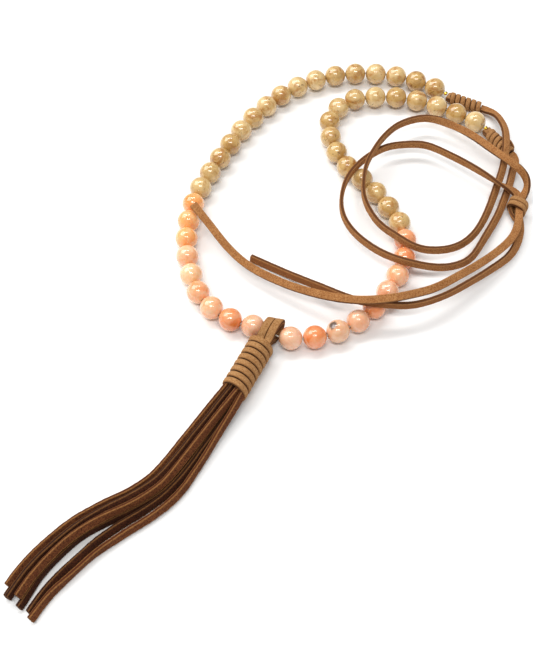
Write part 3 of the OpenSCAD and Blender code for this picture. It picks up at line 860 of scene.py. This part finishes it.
def tan_stone(name, ground, pale, ochre, seed):
    """River jasper, tumbled and polished: an opaque fine-grained stone in beige and
    cream clouds, with ochre bands and a few brown specks, and a glassy polish."""
    made, tree = new_material(name)
    place = node(tree, "ShaderNodeTexCoord").outputs["Object"]
    moved = node(tree, "ShaderNodeMapping", {"Vector": place, "Location": (seed * 0.013, seed * 0.007, 0),
                                             "Rotation": (seed * 0.7, seed * 0.4, seed)})
    cloud = node(tree, "ShaderNodeTexNoise", {"Vector": moved.outputs[0], "Scale": 1 / (4.5 * MM),
                                              "Detail": 4.0, "Roughness": 0.6, "Distortion": 0.6})
    band = node(tree, "ShaderNodeTexNoise", {"Vector": moved.outputs[0], "Scale": 1 / (7 * MM),
                                             "Detail": 5.0, "Roughness": 0.68, "Distortion": 1.8})
    speck = node(tree, "ShaderNodeTexNoise", {"Vector": moved.outputs[0], "Scale": 1 / (1.5 * MM),
                                              "Detail": 3.0, "Roughness": 0.7})
    clear = node(tree, "ShaderNodeMapRange", {"Value": cloud.outputs[0], "From Min": 0.38,
                                              "From Max": 0.62})
    warm = node(tree, "ShaderNodeMapRange", {"Value": band.outputs[0], "From Min": 0.5, "From Max": 0.62})
    spot = node(tree, "ShaderNodeMapRange", {"Value": speck.outputs[0], "From Min": 0.62, "From Max": 0.7})
    colour = blend_colours(tree, clear.outputs[0], paint(ground), paint(pale))
    warmth = node(tree, "ShaderNodeMath", {0: warm.outputs[0], 1: 0.85}, operation="MULTIPLY")
    colour = blend_colours(tree, warmth.outputs[0], colour, paint(ochre))
    colour = blend_colours(tree, spot.outputs[0], colour, paint("#7A5527"))
    bump = node(tree, "ShaderNodeBump", {"Height": spot.outputs[0], "Strength": 0.25,
                                         "Distance": 0.08 * MM}, invert=True)
    shader = node(tree, "ShaderNodeBsdfPrincipled", {
        "Base Color": colour, "Roughness": 0.2, "IOR": 1.54, "Coat Weight": 0.8,
        "Coat Roughness": 0.06, "Normal": bump.outputs[0]})
    return finish_material(made, shader)


def peach_stone(name, ground, pale, deep, seed, spot_at=None):
    """Peach aventurine: a translucent quartz stone with cloudy white wisps in a warm
    body that deepens to orange, polished like glass. Light scatters a millimetre or
    two inside it, which lifts its shaded side."""
    made, tree = new_material(name)
    place = node(tree, "ShaderNodeTexCoord").outputs["Object"]
    moved = node(tree, "ShaderNodeMapping", {"Vector": place, "Location": (seed * 0.011, 0, seed * 0.017),
                                             "Rotation": (seed * 0.5, seed, seed * 0.3)})
    cloud = node(tree, "ShaderNodeTexNoise", {"Vector": moved.outputs[0], "Scale": 1 / (3.6 * MM),
                                              "Detail": 4.0, "Roughness": 0.62, "Distortion": 0.9})
    body = node(tree, "ShaderNodeTexNoise", {"Vector": moved.outputs[0], "Scale": 1 / (8 * MM),
                                             "Detail": 2.0, "Distortion": 0.4})
    wisp = node(tree, "ShaderNodeMapRange", {"Value": cloud.outputs[0], "From Min": 0.4, "From Max": 0.66})
    rich = node(tree, "ShaderNodeMapRange", {"Value": body.outputs[0], "From Min": 0.4, "From Max": 0.62})
    colour = blend_colours(tree, rich.outputs[0], paint(ground), paint(deep))
    clouded = node(tree, "ShaderNodeMath", {0: wisp.outputs[0], 1: 0.7}, operation="MULTIPLY")
    colour = blend_colours(tree, clouded.outputs[0], colour, paint(pale))
    if spot_at:
        # a dark mineral inclusion at the surface
        away = node(tree, "ShaderNodeVectorMath", {0: place, 1: spot_at}, operation="DISTANCE")
        ragged = node(tree, "ShaderNodeMath", {0: cloud.outputs[0], 1: 2.4 * MM, 2: away.outputs["Value"]},
                      operation="MULTIPLY_ADD")
        dark = node(tree, "ShaderNodeMapRange", {"Value": ragged.outputs[0], "From Min": 3.1 * MM,
                                                 "From Max": 2.2 * MM, "To Max": 0.9})
        colour = blend_colours(tree, dark.outputs[0], colour, paint("#4B403B"))
    shader = node(tree, "ShaderNodeBsdfPrincipled", {
        "Base Color": colour, "Roughness": 0.18, "IOR": 1.54, "Coat Weight": 0.8,
        "Coat Roughness": 0.05, "Subsurface Weight": 0.35, "Subsurface Radius": (1.0, 0.5, 0.28),
        "Subsurface Scale": 2 * MM})
    return finish_material(made, shader)


def gold_plate(name):
    """Gold-plated brass, drawn and pressed: bright yellow metal with soft dents from
    the pliers and a slight dulling."""
    made, tree = new_material(name)
    place = node(tree, "ShaderNodeTexCoord").outputs["Object"]
    dull = node(tree, "ShaderNodeTexNoise", {"Vector": place, "Scale": 1 / (0.6 * MM), "Detail": 2.0})
    rough = node(tree, "ShaderNodeMapRange", {"Value": dull.outputs[0], "To Min": 0.14, "To Max": 0.34})
    bump = node(tree, "ShaderNodeBump", {"Height": dull.outputs[0], "Strength": 0.3, "Distance": 0.08 * MM})
    shader = node(tree, "ShaderNodeBsdfPrincipled", {
        "Base Color": paint("#E9BE4B"), "Metallic": 1.0, "Roughness": rough.outputs[0],
        "Normal": bump.outputs[0]})
    return finish_material(made, shader)


def nylon_thread(name):
    """Waxed nylon beading thread, twisted from two plies: off-white, with a soft
    sheen and slightly darker between the plies."""
    made, tree = new_material(name)
    place = node(tree, "ShaderNodeTexCoord").outputs["Object"]
    fibre = node(tree, "ShaderNodeTexNoise", {"Vector": place, "Scale": 1 / (0.25 * MM), "Detail": 3.0})
    colour = blend_colours(tree, fibre.outputs[0], paint("#CFC6B4"), paint("#F0EBDD"))
    bump = node(tree, "ShaderNodeBump", {"Height": fibre.outputs[0], "Strength": 0.4,
                                         "Distance": 0.05 * MM})
    shader = node(tree, "ShaderNodeBsdfPrincipled", {
        "Base Color": colour, "Roughness": 0.55, "Sheen Weight": 0.2, "Normal": bump.outputs[0]})
    return finish_material(made, shader)


LACE_TONES = ("#A56E3E", "#7A4822", "#C2905C", "#5B361D", "#AE7B4A")
lace_suede = suede("tan_lace_suede", *LACE_TONES)
# the left lace's copy, with painted shade on its last stretch
end_shade_lace_suede = suede("tan_lace_suede_end_shade", *LACE_TONES, darker_from_mm=255)
wrap_suede = suede("tan_wrap_suede", "#A97B4C", "#87592F", "#C09566", "#45220F", "#9C6E42")
strand_suede = suede("russet_strand_suede", "#65341A", "#3A180A", "#8A5630", "#4A220E", "#A0703E")
# a painted shade copy of the strand suede, darker, for the strands that lie low in the shade of the others;
# the russet one is the lit copy
shaded_suede = suede("painted_shade_strand_suede", "#3F1C0D", "#200C05", "#5F331A", "#2C1308", "#7C532B")
# the cores inside the windings are painted near black, as painted shade in the gaps between the turns
shade_core_suede = suede("painted_shade_core_suede", "#3E1E10", "#2A130A", "#553020", "#2A130A", "#3E1E10")

tan_stones = [
    tan_stone("river_jasper_beige", "#C19A5B", "#DBB97C", "#AE7533", 1),
    tan_stone("river_jasper_cream", "#CDAA6C", "#E5C68E", "#BB8442", 2),
    tan_stone("river_jasper_ochre", "#B98E4C", "#D2AD6C", "#A0662A", 3)]
INCLUSION_WAY = Vector((-0.5, 0.066, 0.864))
inclusion_at = (right_places[2][0] + BEAD_R_MM * INCLUSION_WAY) * MM
peach_stones = {
    "pale": peach_stone("aventurine_pale_peach", "#F3C692", "#F7D9B4", "#F0B27C", 4),
    "soft": peach_stone("aventurine_soft_peach", "#F4BB8C", "#F8D2AE", "#EE9F68", 5),
    "blush": peach_stone("aventurine_blush_peach", "#EAB088", "#F4CDB0", "#E29F74", 9),
    "warm": peach_stone("aventurine_warm_peach", "#F5B26C", "#F8C791", "#EE9648", 6),
    "salmon": peach_stone("aventurine_salmon_peach", "#EA955C", "#F1B488", "#E27C3C", 8),
    "spotted": peach_stone("aventurine_spotted_peach", "#E2AD85", "#EBC6A4", "#DB9A6C", 7,
                           inclusion_at)}
gold = gold_plate("gold_plated_brass")
thread_finish = nylon_thread("waxed_nylon_thread")

PEACH_TONES = {
    "left": ("blush", "salmon", "soft", "soft", "pale", "soft", "warm", "warm", "warm"),
    "right": ("blush", "salmon", "spotted", "blush", "salmon", "blush", "soft", "salmon", "salmon")}


def dress(piece, finish, slot, *nodes):
    """Gives a piece its finish, hangs it on the part and hides what it stands for."""
    piece.data.materials.clear()
    piece.data.materials.append(finish)
    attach(piece, "root")
    if nodes:
        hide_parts(*nodes)


# the left lace wears painted shade on its end stretch
dress(lace_left, end_shade_lace_suede, "suede_tan", "lace_left")
dress(lace_right, lace_suede, "suede_tan", "lace_right")
for side, wrap in (("left", wrap_left), ("right", wrap_right)):
    dress(wrap[0], wrap_suede, "suede_tan", f"end_wrap_{side}")
    dress(wrap[1], wrap_suede, "suede_tan")
    dress(wrap[2], shade_core_suede, "suede_tan")
dress(wrap_right_nub, lace_suede, "suede_tan")
dress(knot_turns, wrap_suede, "suede_tan", "sliding_knot")
dress(knot_tuck, lace_suede, "suede_tan")
dress(head_turns, wrap_suede, "suede_tan", "tassel_wrap")
dress(head_core, shade_core_suede, "suede_brown", "tassel")
dress(loop_left, wrap_suede, "suede_brown")
dress(loop_right, wrap_suede, "suede_brown")
for piece in loop_inner:
    dress(piece, lace_suede, "suede_brown")
# the upper strands get the lit copy of the strand suede, the others its painted shade copy
for k, piece in enumerate(strands):
    dress(piece, strand_suede if k in UPPER_STRANDS else shaded_suede, "suede_brown")
for name, piece in beads.items():
    _, kind, side, number = name.split("_")
    if kind == "peach":
        dress(piece, peach_stones[PEACH_TONES[side][int(number) - 1]], "stone_peach",
              f"peach_bead_{side}_{number}")
    else:
        pick = random.Random(int(number) * 7 + (side == "left")).randrange(3)
        dress(piece, tan_stones[pick], "stone_tan", f"tan_beads_{side}")
dress(thread, thread_finish, "thread", "beading_thread")
dress(crimp_left, gold, "gold", "crimp_left")
dress(crimp_right, gold, "gold", "crimp_right")

# ---- Table and light

bpy.ops.object.select_all(action="DESELECT")
bpy.ops.mesh.primitive_plane_add(size=6, location=(0, 0, -0.0002))
table = bpy.context.object
table.name = "table"
table_finish, tree = new_material("white_paper_sweep")
table.data.materials.append(finish_material(table_finish, node(tree, "ShaderNodeBsdfPrincipled", {
    "Base Color": paint("#F6F6F5"), "Roughness": 0.9, "Specular IOR Level": 0.1})))

world = bpy.data.worlds.new("studio")
bpy.context.scene.world = world
world.use_nodes = True
world.node_tree.nodes["Background"].inputs["Color"].default_value = (1, 1, 1, 1)
world.node_tree.nodes["Background"].inputs["Strength"].default_value = 0.4


def softbox(name, way, away, width, depth, watts):
    """A rectangular softbox at a distance in a direction, facing the necklace."""
    light = bpy.data.lights.new(name, "AREA")
    light.shape = "RECTANGLE"
    light.size, light.size_y = width, depth
    light.energy = watts
    lamp = bpy.data.objects.new(name, light)
    bpy.context.scene.collection.objects.link(lamp)
    way = Vector(way).normalized()
    lamp.location = way * away
    lamp.rotation_euler = way.to_track_quat("Z", "Y").to_euler()
    return lamp


# the two narrow boxes give the pair of bright windows on each stone
softbox("softbox_back", (-0.05, 0.42, 0.9), 1.2, 0.75, 0.16, 4.8)
softbox("softbox_front", (-0.03, -0.35, 0.94), 1.2, 0.75, 0.16, 5.8)
softbox("key", (-0.62, 0.35, 0.75), 1.6, 1.0, 1.0, 14)

bpy.context.scene.view_settings.view_transform = "Standard"
